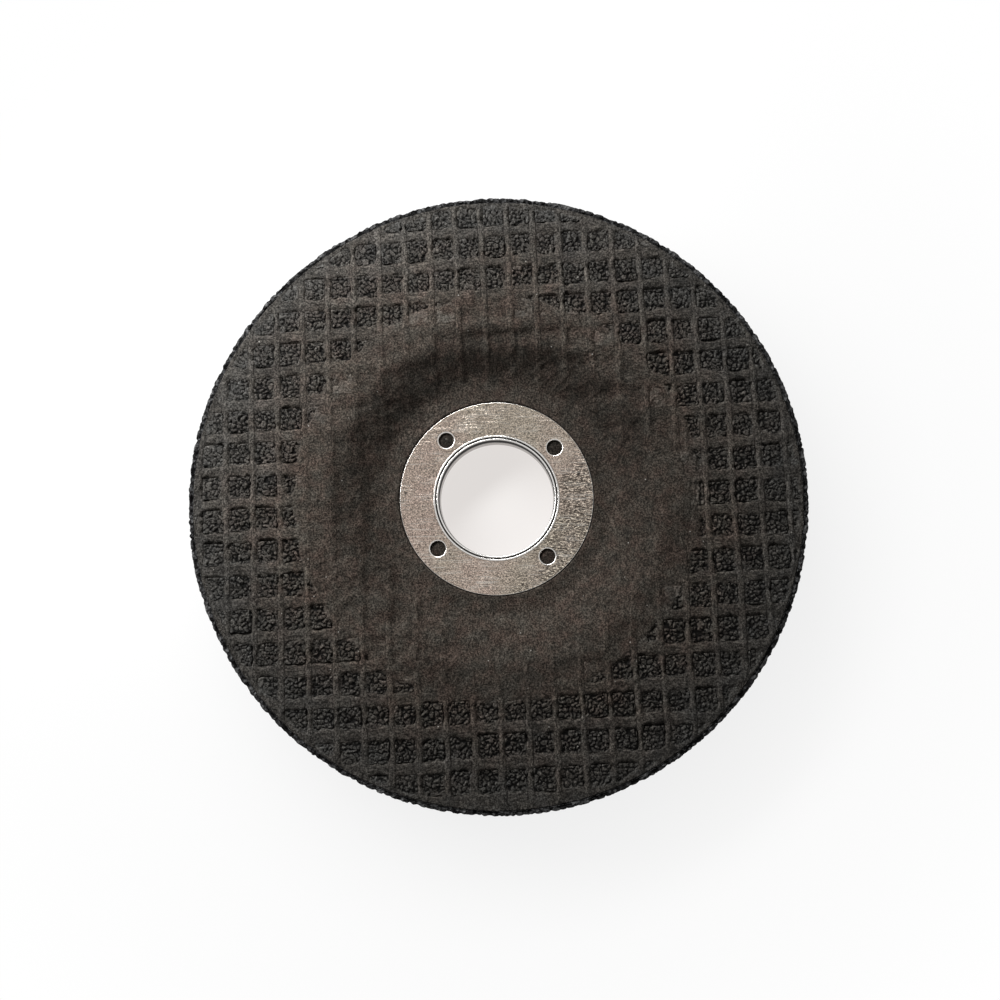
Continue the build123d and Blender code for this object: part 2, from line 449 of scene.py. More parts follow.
def paper_relief(x, y, radius, dent, patchy, on_wall):
    """Strands that show through the paper, wrinkles and lumps, and its edge pressed into the mesh."""
    across, along = weave_offsets(x, y)
    strands_shown = patchy * (0.2 + 0.8 * on_wall + 0.5 * smoothstep(30.0, 33.0, radius))
    relief = 0.27 * (strand_height(x, y) - 1.0) * strands_shown - 0.05 * dent * on_wall * patchy
    slant, upright = x * 0.82 + y * 0.57, y * 0.82 - x * 0.57
    wrinkles = smoothstep(0.25, 0.0, np.abs(soft_noise(slant / 2.5, upright, 1.5, 98)))
    relief += 0.13 * wrinkles * smoothstep(0.0, 0.4, soft_noise(x, y, 11.0, 97)) * on_wall
    lumps = 0.05 * soft_noise(x, y, 1.3, 92) + 0.07 * soft_noise(x, y, 3.4, 95)
    relief += lumps + 0.06 * soft_noise(x, y, 6.5, 93) - 0.06
    relief *= smoothstep(washer_radius + 0.4, washer_radius + 2.0, radius)
    stepped = (0.3 + 0.6 * smoothstep(26.0, 30.0, radius)) * patchy / radius
    inward = x * np.sin(2 * np.pi * across / warp_pitch) * warp_pitch / (2 * np.pi)
    inward += y * np.sin(2 * np.pi * along / weft_pitch) * weft_pitch / (2 * np.pi)
    relief += paper_height(radius - stepped * inward) - paper_height(radius)
    frayed = 0.3 * soft_noise(x, y, 1.7, 94)
    at_edge = smoothstep(blotter_radius - 2.2, blotter_radius - 0.8, radius + frayed)
    relief += (closed_mesh(x, y) + 0.02 - blotter_thickness - relief) * at_edge
    return relief


def paper_painted_shade(x, y, radius):
    """Painted shade and light on the paper: its brightness on the floor, the wall and the outer ring,
    each varied around the disc as the lamp falls.
    """
    turn = np.arctan2(y, x)
    floor_tone = 0.86 - 0.09 * np.cos(turn - 1.05) - 0.08 * np.cos(turn - 1.9)
    wall_tone = 0.73 - 0.09 * np.cos(turn - 1.05) - 0.08 * np.cos(turn - 0.87)
    outer_tone = 0.86 - 0.06 * np.cos(turn - 0.35)
    edge_tone = 0.97
    tone = floor_tone + (wall_tone - floor_tone) * smoothstep(22.5, 24.5, radius)
    tone += (outer_tone - tone) * smoothstep(28.5, 32.0, radius)
    tone += (edge_tone - tone) * smoothstep(blotter_radius - 2.5, blotter_radius, radius)
    return tone


def blotter():
    """The paper over the middle, with the strands faintly in it and a dome in each washer hole."""
    radii = np.concatenate([
        np.arange(neck_radius + 0.02, washer_radius, 0.32),
        washer_radius + np.array([0.05, 0.12, 0.19, 0.25]),
        np.arange(washer_radius + 0.5, blotter_radius, 0.3),
        [blotter_radius - 0.02, blotter_radius],
    ])
    hub_top = front_sheet + blotter_thickness - dish_depth
    seat_step = smoothstep(washer_radius + 0.25, washer_radius + 0.05, radii) * (hub_top - washer_seat)
    top = hub_top + paper_height(radii) - seat_step
    section = [(r, t) for r, t in zip(radii, top)]
    section += [(r, t - blotter_thickness) for r, t in zip(radii[::-5], top[::-5])]
    piece = turned("paper_blotter", section, steps=720)
    points = places_of(piece)
    x, y, z = points.T
    radius = np.hypot(x, y)
    upper = z > np.interp(radius, radii, top) - 0.4 * blotter_thickness
    across, along = weave_offsets(x, y)
    dent = smoothstep(0.5, -0.6, gap_edge(across, along))
    patchy = np.clip(0.65 + 0.7 * soft_noise(x, y, 17.0, 91), 0.3, 1.0)
    on_wall = smoothstep(dish_floor_radius - 3.0, dish_floor_radius, radius)
    relief = paper_relief(x, y, radius, dent, patchy, on_wall)
    # Painted shade: the paper darker where it dips into the gaps on the wall, and in and round the
    # washer's holes.
    dark = 0.25 * dent * on_wall * patchy * upper
    for hole_x, hole_y in hole_centres():
        away = np.hypot(x - hole_x, y - hole_y)
        relief += (0.12 + 0.06 * soft_noise(x, y, 0.5, 96)) * smoothstep(hole_radius, 0.2, away)
        dark = np.maximum(dark, smoothstep(hole_radius + 1.0, hole_radius + 0.4, away))
    points[:, 2] = np.minimum(np.where(upper, z + relief, z + np.minimum(relief, 0)), front_crest)
    place(piece, points)
    strands_shown = patchy * (0.35 * on_wall + 0.5 * smoothstep(29.0, 33.0, radius))
    mark(piece, "gap", dark)
    # Painted shade and light across the paper.
    mark(piece, "tone", paper_painted_shade(x, y, radius))
    mark(piece, "lines", np.clip(strands_shown, 0, 1))
    mark(piece, "warp_step", across / warp_pitch)
    return piece


# The body and the back

def body():
    """The abrasive body, smooth where the meshes cover it and broken into grains round the rim."""
    rim_bend = 0.22
    sunk_under_mesh = 0.35
    inner = np.concatenate([
        [neck_radius, washer_radius + 0.1, washer_radius + 0.3],
        np.linspace(dish_floor_radius - 2.4, dish_shoulder_radius + 2.4, 9),
        [mesh_radius - 0.6, mesh_radius],
    ])
    under_steel = inner < washer_radius + 0.15
    steel_front = washer_seat - blotter_thickness - mesh_thickness
    steel_back = bushing_sheet + mesh_thickness
    hub_front = np.where(under_steel, steel_front, front_core - dish_depth) - sunk_under_mesh
    hub_back = np.where(under_steel, steel_back, back_core - dish_depth)
    lower, upper = back_sheet, front_sheet
    bare_steps = mesh_radius + np.arange(0.0, 0.6, 0.12)
    side_steps = np.arange(lower + rim_bend + 0.3, upper - rim_bend - 0.1, 0.3)
    section = [(r, h + dish(r)) for r, h in zip(inner, hub_back)]
    section += [(r, lower) for r in bare_steps]
    section += arc(disc_radius - rim_bend, lower + rim_bend, rim_bend, -90, 0, 4)
    section += [(disc_radius, h) for h in side_steps]
    section += arc(disc_radius - rim_bend, upper - rim_bend, rim_bend, 0, 90, 4)
    section += [(r, upper) for r in bare_steps[::-1]]
    covered = zip(inner[::-1], hub_front[::-1])
    section += [(r, h + min(dish(r), paper_height(r))) for r, h in covered]
    piece = turned("rough_body", section, steps=1250)
    points = places_of(piece)
    normals = normals_of(piece)
    x, y, z = points.T
    radius = np.hypot(x, y)
    bare = smoothstep(mesh_radius - 0.02, mesh_radius + 0.1, radius)
    big = grains(x, y, z, size=0.9, seed=101)
    small = grains(x, y, z, size=0.5, seed=111)
    chips = smoothstep(0.5, 0.9, soft_noise(np.arctan2(y, x) * disc_radius, z, 2.6, 121))
    wander = 0.06 * soft_noise(x, y, 2.0, 122)
    on_faces = np.abs(normals[:, 2]) > 0.7
    groove = np.exp(-((radius - mesh_radius - 0.14 - wander) / 0.13) ** 2) * on_faces
    groove *= 0.3 + 0.7 * smoothstep(-0.5, 0.4, soft_noise(x, y, 2.6, 123))
    depth = bare * (0.36 * (1 - big) + 0.1 * (1 - small) + 0.16 * chips + 0.2 * groove - 0.17)
    points -= normals * depth[:, None]
    points[:, :2] /= np.maximum(np.hypot(points[:, 0], points[:, 1]) / disc_radius, 1.0)[:, None]
    points[:, 2] = np.clip(points[:, 2], back_crest, front_crest)
    place(piece, points)
    # Painted shade for the material, between the grains and in the groove inside the rim.
    mark(piece, "crease", bare * np.maximum(1 - big, 0.8 * groove))
    return piece


def back_web():
    """The mesh on the convex face, from the steel flange over the hub and its wall to the rim."""
    inner = washer_radius + 0.03
    radii = np.concatenate([
        inner + np.array([0, 0.1, 0.22, 0.35]),
        np.arange(inner + 0.6, mesh_radius, 0.4),
        [mesh_radius],
    ])
    hub = back_sheet - dish_depth
    step = smoothstep(washer_radius + 0.25, washer_radius + 0.05, radii) * (bushing_sheet - hub)
    low = hub + dish(radii) + step
    section = [(r, h) for r, h in zip(radii, low)]
    section += [(r, h + mesh_thickness + 0.05) for r, h in zip(radii[::-7], low[::-7])]
    piece = turned("back_mesh_weave", section, steps=720)
    points = places_of(piece)
    x, y, z = points.T
    radius = np.hypot(x, y)
    under = z < np.interp(radius, radii, low) + 0.3 * mesh_thickness
    openness = gap_openness(x, y, washer_radius + 0.6, mesh_radius - 0.5)
    flat = smoothstep(dish_shoulder_radius + 1.0, dish_shoulder_radius + 3.0, radius)
    strands = strand_height(x, y)
    raised = 0.06 - 0.2 * flat * strands - 0.05 * (1 - flat) * strands
    raised += 0.02 * soft_noise(x, y, 1.2, 131) + 0.03 * soft_noise(x, y, 4.2, 132)
    crease, tone = creases(x, y, size=0.95, seed=141)
    crease *= under
    sunk = 0.12 + 0.3 * crease
    shift = raised * (1 - openness) + sunk * openness
    shift *= smoothstep(washer_radius + 0.2, washer_radius + 0.9, radius)
    lowest = np.where(radius > dish_shoulder_radius + 1.9, back_crest, 0.06)
    points[:, 2] = np.where(under, np.maximum(z + shift, lowest), z)
    place(piece, points)
    # Painted shade for the material: its creases and gaps made darker.
    mark(piece, "crease", crease * openness)
    mark(piece, "tone", 1 + (tone - 0.5) * openness)
    mark(piece, "gap", 0.6 * openness)
    mark_strands(piece, x, y, radius)
    return piece


# The steel

def bushing():
    """The steel bushing: flange, neck, and a lip peened over the washer, grooved in its crown."""
    bend_radius = bore_radius + bushing_outer_bend
    flange_end = washer_radius - flange_edge
    groove_floor = washer_top - 0.06
    section = arc(flange_end, flange_edge, flange_edge, -90, 0, 4)
    section += arc(flange_end, bushing_sheet - flange_edge, flange_edge, 0, 90, 4)
    section += arc(bend_radius, bushing_outer_bend, bushing_inner_bend, 270, 180, 5)
    section += [(neck_radius, lip_seat), (lip_foot - 0.06, lip_seat)]
    section += arc(lip_foot - 0.2, lip_crest - 0.2, 0.2, -20, 90, 6)
    section += arc(lip_foot - 0.24, lip_crest - 0.17, 0.17, 90, 175, 5)
    section += [(bore_radius + 0.54, groove_floor), (bore_radius + 0.42, groove_floor)]
    section += arc(bore_radius + 0.18, washer_top + 0.03, 0.18, 20, 180, 7)
    section += [(bore_radius, h) for h in np.linspace(washer_top - 0.2, bushing_outer_bend + 0.3, 8)]
    section += arc(bend_radius, bushing_outer_bend, bushing_outer_bend, 180, 270, 8)
    piece = turned("steel_bushing", section, steps=360)
    points = places_of(piece)
    x, y, z = points.T
    across_lip = np.hypot(x, y) - bore_radius
    around = np.arctan2(y, x) * bore_radius
    peened = smoothstep(washer_top - 0.3, washer_top, z)
    points[:, 2] = np.minimum(z + peened * 0.025 * soft_noise(around, z, 0.9, 151), lip_crest)
    place(piece, points)
    crown = smoothstep(washer_top - 0.15, washer_top - 0.08, z)
    in_groove = smoothstep(0.12, 0.07, np.abs(across_lip - lip_width / 2)) * crown
    in_bore = smoothstep(0.05, 0.01, across_lip) * smoothstep(washer_top - 3.8, washer_top - 1.6, z)
    in_bore *= smoothstep(washer_top + 0.02, washer_top - 0.06, z)
    in_bore *= 0.9 + 0.15 * soft_noise(around, z, 0.9, 152)
    inner_bead = smoothstep(0.33, 0.26, across_lip)
    outer_bead = 0.8 * smoothstep(0.55, 0.6, across_lip) * smoothstep(0.97, 0.88, across_lip)
    # Painted shade: the lip's groove and the top of the bore are painted black, and made rough and not
    # metallic.
    mark(piece, "painted_shade", np.maximum(in_groove, in_bore))
    # Painted highlight on the lip's inner and outer beads.
    mark(piece, "bead_highlight", np.maximum(inner_bead, outer_bead) * crown)
    mark(piece, "lip", crown)
    mark(piece, "bore", smoothstep(0.5, 0.1, across_lip))
    return piece


def washer():
    """The steel washer: rounded rim, coined seat for the lip, and four holes with turned-down edges."""
    top_edge, under_edge, flare = 0.13, 0.1, 0.36
    washer_bore, seat_radius = neck_radius + seat_gap, lip_foot + seat_gap
    cutter_foot, cutter_top = washer_seat - 1, washer_top + 0.04
    section = [(washer_bore, washer_seat), (washer_radius - under_edge, washer_seat)]
    section += [(washer_radius, washer_seat + under_edge)]
    section += arc(washer_radius - top_edge, washer_top - top_edge, top_edge, 0, 90, 6)
    section += [(seat_radius, washer_top), (seat_radius, lip_seat), (washer_bore, lip_seat)]
    piece = turned("steel_washer", section, steps=420)
    for hole_x, hole_y in hole_centres():
        cutter_section = [(0, cutter_foot), (hole_radius, cutter_foot)]
        cutter_section += arc(hole_radius + flare, washer_top - flare, flare, 180, 98, 7)
        cutter_section += [(hole_radius + flare + 0.3, cutter_top), (0, cutter_top)]
        cutter = turned("hole_cutter", cutter_section, steps=72)
        cutter.data.transform(Matrix.Translation((hole_x * mm, hole_y * mm, 0)))
        deselect()
        piece.select_set(True)
        bpy.context.view_layer.objects.active = piece
        bpy.ops.object.modifier_add(type="BOOLEAN")
        cut = piece.modifiers[-1]
        cut.operation = "DIFFERENCE"
        cut.object = cutter
        bpy.ops.object.modifier_apply(modifier=cut.name)
        bpy.data.objects.remove(cutter)
    bpy.ops.object.shade_smooth_by_angle(angle=math.radians(35))
    return piece


# Helpers for materials

loose_hair = (0.13, 0.12, 0.1)
pale_mineral = (0.38, 0.36, 0.33)
strand_edge_shade = (0.014, 0.012, 0.011)
resin_tint = (0.95, 0.98, 1.0)
warm_zinc = (0.292, 0.229, 0.194)
cool_zinc = (0.264, 0.227, 0.184)
scratched_zinc = (0.58, 0.55, 0.5)
highlight_zinc = (0.7, 0.69, 0.67)
bore_zinc = (0.26, 0.25, 0.24)
dark_speck = (0.03, 0.027, 0.024)
shade_black = (0.012, 0.012, 0.012)


class Wiring:
    """A material's nodes, laid out as they are added."""

    def __init__(self, name):
        self.material = bpy.data.materials.new(name)
        self.material.use_nodes = True
        self.tree = self.material.node_tree
        self.surface = self.tree.nodes["Principled BSDF"]
        self.object_place = self.add("ShaderNodeTexCoord").outputs["Object"]

    def add(self, kind, **settings):
        """A new node, with its settings."""
        node = self.tree.nodes.new(kind)
        node.location = (-200 * (len(self.tree.nodes) % 9), -180 * (len(self.tree.nodes) // 9))
        for key, value in settings.items():
            setattr(node, key, value)
        return node

    def feed(self, socket, value):
        """Links a socket to a node's output, or sets it to a number or colour."""
        if hasattr(value, "is_linked"):
            self.tree.links.new(value, socket)
        else:
            socket.default_value = value

    def stretched(self, scale, turn=0.0):
        """Object coordinates, turned about Z and scaled."""
        node = self.add("ShaderNodeMapping")
        self.feed(node.inputs["Vector"], self.object_place)
        node.inputs["Rotation"].default_value = (0, 0, turn)
        node.inputs["Scale"].default_value = scale
        return node.outputs["Vector"]

    def noise(self, vector, scale, detail=3.0, roughness=0.55, distortion=0.0):
        """Cloudy noise from 0 to 1."""
        node = self.add("ShaderNodeTexNoise")
        self.feed(node.inputs["Vector"], vector)
        node.inputs["Scale"].default_value = scale
        node.inputs["Detail"].default_value = detail
        node.inputs["Roughness"].default_value = roughness
        node.inputs["Distortion"].default_value = distortion
        return node.outputs["Fac"]

    def cells(self, vector, scale, output="Distance"):
        """Distance from the middles of random cells, or a random colour for each."""
        node = self.add("ShaderNodeTexVoronoi")
        self.feed(node.inputs["Vector"], vector)
        node.inputs["Scale"].default_value = scale
        return node.outputs[output]

    def ramp(self, value, *stops):
        """Stops are (place, colour), with the colour a grey number or three numbers."""
        node = self.add("ShaderNodeValToRGB")
        self.feed(node.inputs["Fac"], value)
        while len(node.color_ramp.elements) < len(stops):
            node.color_ramp.elements.new(0.5)
        for element, (where, colour) in zip(node.color_ramp.elements, stops):
            element.position = where
            grey = (colour, colour, colour) if isinstance(colour, (int, float)) else colour
            element.color = (*grey, 1.0)
        return node.outputs["Color"]

    def math(self, operation, first, second=0.0):
        """A sum, product or the like of two values."""
        node = self.add("ShaderNodeMath", operation=operation)
        self.feed(node.inputs[0], first)
        self.feed(node.inputs[1], second)
        return node.outputs[0]

    def blend(self, kind, amount, first, second):
        """Two colours blended, each a node's output or three numbers."""
        node = self.add("ShaderNodeMix", data_type="RGBA", blend_type=kind)
        self.feed(node.inputs["Factor"], amount)
        for name, value in (("A", first), ("B", second)):
            socket = next(s for s in node.inputs if s.name == name and s.type == "RGBA")
            self.feed(socket, value if hasattr(value, "is_linked") else (*value, 1.0))
        return next(s for s in node.outputs if s.type == "RGBA")

    def shade(self, colour, factor, amount=1.0):
        """The colour made darker or lighter by a factor."""
        return self.blend("MULTIPLY", amount, colour, factor)

    def cover(self, colour, over, amount):
        """The colour covered by another."""
        return self.blend("MIX", amount, colour, over)

    def kept(self, name):
        """A number that mark() kept on the piece."""
        node = self.add("ShaderNodeAttribute", attribute_name=name)
        return node.outputs["Fac"]

    def bump(self, height, distance, under=None):
        """A relief of that depth in metres, on top of another one."""
        node = self.add("ShaderNodeBump")
        self.feed(node.inputs["Height"], height)
        node.inputs["Distance"].default_value = distance
        if under is not None:
            self.feed(node.inputs["Normal"], under)
        return node.outputs["Normal"]

    def finished(self, colour, roughness, normal, specular=0.5):
        """The material, once its surface has its colour, gloss and relief."""
        self.feed(self.surface.inputs["Base Color"], colour)
        self.feed(self.surface.inputs["Roughness"], roughness)
        self.feed(self.surface.inputs["Specular IOR Level"], specular)
        self.feed(self.surface.inputs["Normal"], normal)
        return self.material


def paper_colour(w):
    """Resin-soaked paper and glass: brown towards the dish, soot grey towards the rim, in patches."""
    reddish, plain, greenish = (0.058, 0.0435, 0.0355), (0.054, 0.0445, 0.0365), (0.05, 0.0442, 0.037)
    soot, pale_soot = (0.043, 0.041, 0.038), (0.049, 0.045, 0.04)
    browns = w.noise(w.object_place, 330, detail=3.0)
    brown = w.ramp(browns, (0.35, reddish), (0.5, plain), (0.65, greenish))
    greys = w.noise(w.object_place, 270, detail=2.0)
    grey = w.ramp(greys, (0.35, soot), (0.65, pale_soot))
    place_only = w.add("ShaderNodeVectorMath", operation="MULTIPLY")
    w.feed(place_only.inputs[0], w.object_place)
    place_only.inputs[1].default_value = (1, 1, 0)
    length = w.add("ShaderNodeVectorMath", operation="LENGTH")
    w.feed(length.inputs[0], place_only.outputs[0])
    outward = w.math("DIVIDE", length.outputs["Value"], disc_radius * mm)
    uneven = w.math("MULTIPLY", w.math("SUBTRACT", w.noise(w.object_place, 90, detail=2.0), 0.5), 0.5)
    sooty = w.ramp(w.math("ADD", outward, uneven), (0.62, 0.0), (0.95, 1.0))
    return w.cover(brown, grey, sooty)


def paper_grain(w, turned_share=0.0):
    """The paper's fine grain: felt and fibres, along the warp, or across it where turned_share is 1."""
    felt = w.noise(w.object_place, 3300, detail=3.0, roughness=0.8)
    fibres = w.noise(w.stretched((3300, 1200, 1500)), 1.0, detail=2.0, roughness=0.6, distortion=0.8)
    across = w.noise(w.stretched((850, 3100, 1500)), 1.0, detail=2.0, roughness=0.6, distortion=0.5)
    across = w.math("MULTIPLY", across, turned_share)
    fibres = w.math("ADD", across, w.math("MULTIPLY", fibres, w.math("SUBTRACT", 1.0, turned_share)))
    return w.math("ADD", w.math("MULTIPLY", felt, 0.72), w.math("MULTIPLY", fibres, 0.28))


def mottled(w, colour):
    """Soft light and dark patches, a few millimetres wide, and loose pale hairs."""
    patches = w.noise(w.object_place, 420, detail=3.0, roughness=0.6, distortion=0.5)
    colour = w.shade(colour, w.ramp(patches, (0.34, 0.8), (0.5, 1.0), (0.66, 1.22)))
    strands = w.noise(w.object_place, 900, detail=1.0, distortion=1.4)
    hairs = w.ramp(w.math("ABSOLUTE", w.math("SUBTRACT", strands, 0.5)), (0.0, 1.0), (0.012, 0.0))
    chosen = w.ramp(w.noise(w.object_place, 700, detail=1.0), (0.52, 0.0), (0.6, 1.0))
    hairs = w.math("MULTIPLY", w.math("MULTIPLY", hairs, chosen), 0.2)
    return w.cover(colour, loose_hair, hairs), patches


def with_specks(w, colour):
    """A few tiny pale mineral specks."""
    specks = w.ramp(w.cells(w.object_place, 600), (0.04, 1.0), (0.09, 0.0))
    chosen = w.ramp(w.cells(w.object_place, 600, "Color"), (0.7, 0.0), (0.72, 1.0))
    return w.cover(colour, pale_mineral, w.math("MULTIPLY", specks, chosen))


def weave_material(name):
    """Resin-soaked glass mesh or the paper over it: brownish black, fibrous, matt."""
    w = Wiring(name)
    shown = w.kept("lines")
    from_middle = w.math("ABSOLUTE", w.math("SUBTRACT", w.math("FRACT", w.kept("warp_step")), 0.5))
    off_warp = w.math("MULTIPLY", w.ramp(from_middle, (0.11, 0.0), (0.15, 1.0)), shown)
    grain = paper_grain(w, off_warp)
    colour = w.shade(paper_colour(w), w.ramp(grain, (0.4, 0.2), (0.5, 0.9), (0.595, 2.5)))
    colour, patches = mottled(w, colour)
    broad = w.noise(w.object_place, 55, detail=2.0)
    colour = w.shade(colour, w.ramp(broad, (0.3, 0.85), (0.7, 1.15)))
    # Painted shade: a dark line along both edges of each warp strand, also pressed in as a shallow
    # groove by the bump below.
    side = w.math("ABSOLUTE", w.math("SUBTRACT", from_middle, 0.125))
    line = w.ramp(side, (0.0, 1.0), (0.02, 0.5), (0.045, 0.0))
    broken = w.ramp(w.noise(w.stretched((420, 210, 420)), 1.0, detail=2.0), (0.44, 0.0), (0.56, 1.0))
    line = w.math("MULTIPLY", w.math("MULTIPLY", line, broken), shown)
    colour = w.cover(colour, strand_edge_shade, w.math("MULTIPLY", line, 0.55))
    # Painted highlight: the middle of each warp strand made lighter.
    colour = w.shade(colour, w.ramp(from_middle, (0.08, 1.18), (0.13, 1.0)), shown)
    # Painted shade in the gaps and in the creases. The kept tone is random on the back's lumps, and
    # painted shade and light on the paper.
    colour = w.shade(colour, w.ramp(w.kept("gap"), (0.4, 1.0), (0.95, 0.6)))
    colour = w.shade(colour, w.ramp(w.kept("crease"), (0.1, 1.0), (0.65, 0.12)))
    colour = w.shade(colour, w.kept("tone"))
    normal = w.bump(grain, 0.00024)
    normal = w.bump(patches, 0.0003, normal)
    normal = w.bump(w.math("SUBTRACT", 1.0, line), 0.00008, normal)
    return w.finished(with_specks(w, colour), 0.66, normal, specular=0.05)


def crumpled_material(name):
    """Grit coated in black resin: as the paper on its lumps, with painted shade that makes its creases
    black.
    """
    w = Wiring(name)
    grain = paper_grain(w)
    colour = w.shade(paper_colour(w), resin_tint)
    colour = w.shade(colour, w.ramp(w.kept("tone"), (0.0, 0.8), (1.0, 1.6)))
    colour = w.shade(colour, w.ramp(grain, (0.38, 0.35), (0.5, 1.0), (0.62, 2.1)))
    # Painted shade: creases darkened nearly to black, lump tops a little lighter.
    colour = w.shade(colour, w.ramp(w.kept("crease"), (0.1, 1.1), (0.65, 0.06)))
    normal = w.bump(w.math("SUBTRACT", 1.0, w.cells(w.object_place, 2300)), 0.00014)
    normal = w.bump(grain, 0.0001, normal)
    return w.finished(with_specks(w, colour), 0.6, normal, specular=0.07)


def rim_material(name):
    """Broken abrasive at the bare rim: black, with its palest grains as painted glints."""
    w = Wiring(name)
    black, dark, painted_glint = (0.014, 0.014, 0.014), (0.052, 0.052, 0.053), (0.12, 0.12, 0.12)
    grain = w.cells(w.object_place, 2200, "Color")
    # The palest grains are painted glints.
    colour = w.ramp(grain, (0.3, black), (0.55, dark), (0.85, painted_glint))
    # Painted shade between the grains and in the groove.
    colour = w.shade(colour, w.ramp(w.kept("crease"), (0.3, 1.0), (0.75, 0.08)))
    normal = w.bump(w.cells(w.object_place, 2200), 0.0002)
    normal = w.bump(w.noise(w.object_place, 4000, detail=2.0), 0.0001, normal)
    return w.finished(colour, 0.8, normal, specular=0.06)


def rubbed_patches(w):
    """Coarse dark and bright streaks along X, on the half of the washer towards +X."""
    split = w.add("ShaderNodeSeparateXYZ")
    w.feed(split.inputs[0], w.object_place)
    sideways = w.math("ADD", split.outputs["X"], w.math("MULTIPLY", split.outputs["Y"], -0.35))
    wander = w.math("SUBTRACT", w.noise(w.object_place, 160, detail=3.0), 0.5)
    sideways = w.math("ADD", sideways, w.math("MULTIPLY", wander, 0.016))
    rubbed = w.ramp(w.math("MULTIPLY", sideways, 40.0), (0.38, 0.0), (0.56, 1.0))
    coarse = w.noise(w.stretched((1500, 4600, 2900)), 1.0, detail=3.0, roughness=0.7, distortion=0.6)
    streaks = w.ramp(coarse, (0.43, 0.08), (0.52, 0.6), (0.6, 2.1))
    return streaks, w.math("MULTIPLY", rubbed, 0.9)


def fine_scratches(w):
    """Fine scratches in four directions, in loose groups."""
    directions = (
        ((90, 6500, 90), 0.05),
        ((120, 6500, 120), 0.8),
        ((140, 6200, 140), -0.6),
        ((150, 6000, 150), -0.95),
    )
    scratches = 0.0
    for stretch, turn in directions:
        lines = w.noise(w.stretched(stretch, turn), 1.0, detail=0.0)
        lines = w.ramp(lines, (0.62, 0.0), (0.69, 1.0))
        groups = w.noise(w.stretched((220, 420, 220), turn), 1.0, detail=1.0)
        groups = w.ramp(groups, (0.5, 0.0), (0.6, 1.0))
        scratches = w.math("MAXIMUM", w.math("MULTIPLY", lines, groups), scratches)
    return scratches


def steel_material(name):
    """Dull zinc-plated steel: frosted grain, scratches and dark specks, with painted highlights on
    edges and beads, and painted shade on upright faces, in the lip's groove and in the bore.
    """
    w = Wiring(name)
    frost = w.noise(w.stretched((4300, 6300, 5200)), 1.0, detail=2.0, roughness=0.7, distortion=0.8)
    tint = w.noise(w.object_place, 75, detail=2.0)
    colour = w.ramp(tint, (0.35, warm_zinc), (0.65, cool_zinc))
    colour = w.shade(colour, w.ramp(frost, (0.38, 0.28), (0.5, 0.95), (0.6, 2.2)))
    streaks, rubbed = rubbed_patches(w)
    colour = w.shade(colour, streaks, rubbed)
    scratches = fine_scratches(w)
    colour = w.cover(colour, scratched_zinc, w.math("MULTIPLY", scratches, 0.42))
    dots = w.ramp(w.cells(w.object_place, 420), (0.06, 1.0), (0.14, 0.0))
    chosen = w.ramp(w.noise(w.object_place, 210, detail=1.0), (0.54, 0.0), (0.57, 1.0))
    colour = w.cover(colour, dark_speck, w.math("MULTIPLY", w.math("MULTIPLY", dots, chosen), 0.9))
    facing = w.add("ShaderNodeSeparateXYZ")
    w.feed(facing.inputs[0], w.add("ShaderNodeTexCoord").outputs["Normal"])
    upward = facing.outputs["Z"]
    lip, bore, painted_shade = w.kept("lip"), w.kept("bore"), w.kept("painted_shade")
    # Painted highlight: the sloped faces of rounded edges, less on the lip's crown, and the lip's two
    # beads, made pale zinc.
    edge = w.ramp(upward, (0.15, 0.0), (0.4, 1.0), (0.95, 1.0), (0.99, 0.0))
    edge = w.math("MULTIPLY", edge, w.math("SUBTRACT", 0.65, w.math("MULTIPLY", lip, 0.4)))
    edge = w.math("MAXIMUM", edge, w.math("MULTIPLY", w.kept("bead_highlight"), 0.95))
    colour = w.cover(colour, highlight_zinc, edge)
    lining = w.math("MULTIPLY", bore, w.math("SUBTRACT", 0.75, w.math("MULTIPLY", lip, 0.75)))
    colour = w.cover(colour, bore_zinc, lining)
    # Painted shade: upright faces, such as the hole walls and the washer's rim, darkened; the bore's
    # wall only a little.
    wall = w.ramp(w.math("ABSOLUTE", upward), (0.05, 0.12), (0.3, 1.0))
    colour = w.shade(colour, w.math("MAXIMUM", wall, w.math("MULTIPLY", bore, 0.9)))
    # Painted shade: black in the lip's groove and the top of the bore.
    colour = w.cover(colour, shade_black, w.ramp(painted_shade, (0.05, 0.0), (0.7, 1.0)))
    w.feed(w.surface.inputs["Metallic"], w.ramp(painted_shade, (0.3, 1.0), (0.8, 0.0)))
    roughness = w.ramp(painted_shade, (0.3, 0.16), (0.8, 0.9))
    normal = w.bump(frost, 0.00002)
    normal = w.bump(scratches, 0.000008, normal)
    return w.finished(colour, roughness, normal)


def dress(piece, material, node):
    """Gives a finished piece its material, and says what it rides on, replaces and is made of."""
    piece.data.materials.clear()
    piece.data.materials.append(material)
    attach(piece, "root")
    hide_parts(node)


weave_finish = weave_material("resin_soaked_mesh")
paper_finish = weave_material("blotter_paper")
gap_finish = crumpled_material("crumpled_grit")
rim_finish = rim_material("broken_rim_grit")
steel_finish = steel_material("dull_zinc_steel")

dress(front_web(), weave_finish, "front_mesh")
dress(blotter(), paper_finish, "centre_blotter")
dress(back_web(), weave_finish, "back_mesh")
dress(body(), rim_finish, "abrasive_body")
open_gaps = gap_centres(blotter_radius - 1.6, mesh_radius + 1.6)
half = len(open_gaps) // 2
dress(front_grit("grit_in_left_gaps", open_gaps[:half]), gap_finish, "abrasive_body")
dress(front_grit("grit_in_right_gaps", open_gaps[half:]), gap_finish, "abrasive_body")
dress(bushing(), steel_finish, "hub_bushing")
dress(washer(), steel_finish, "hub_washer")


# Floor, light and camera

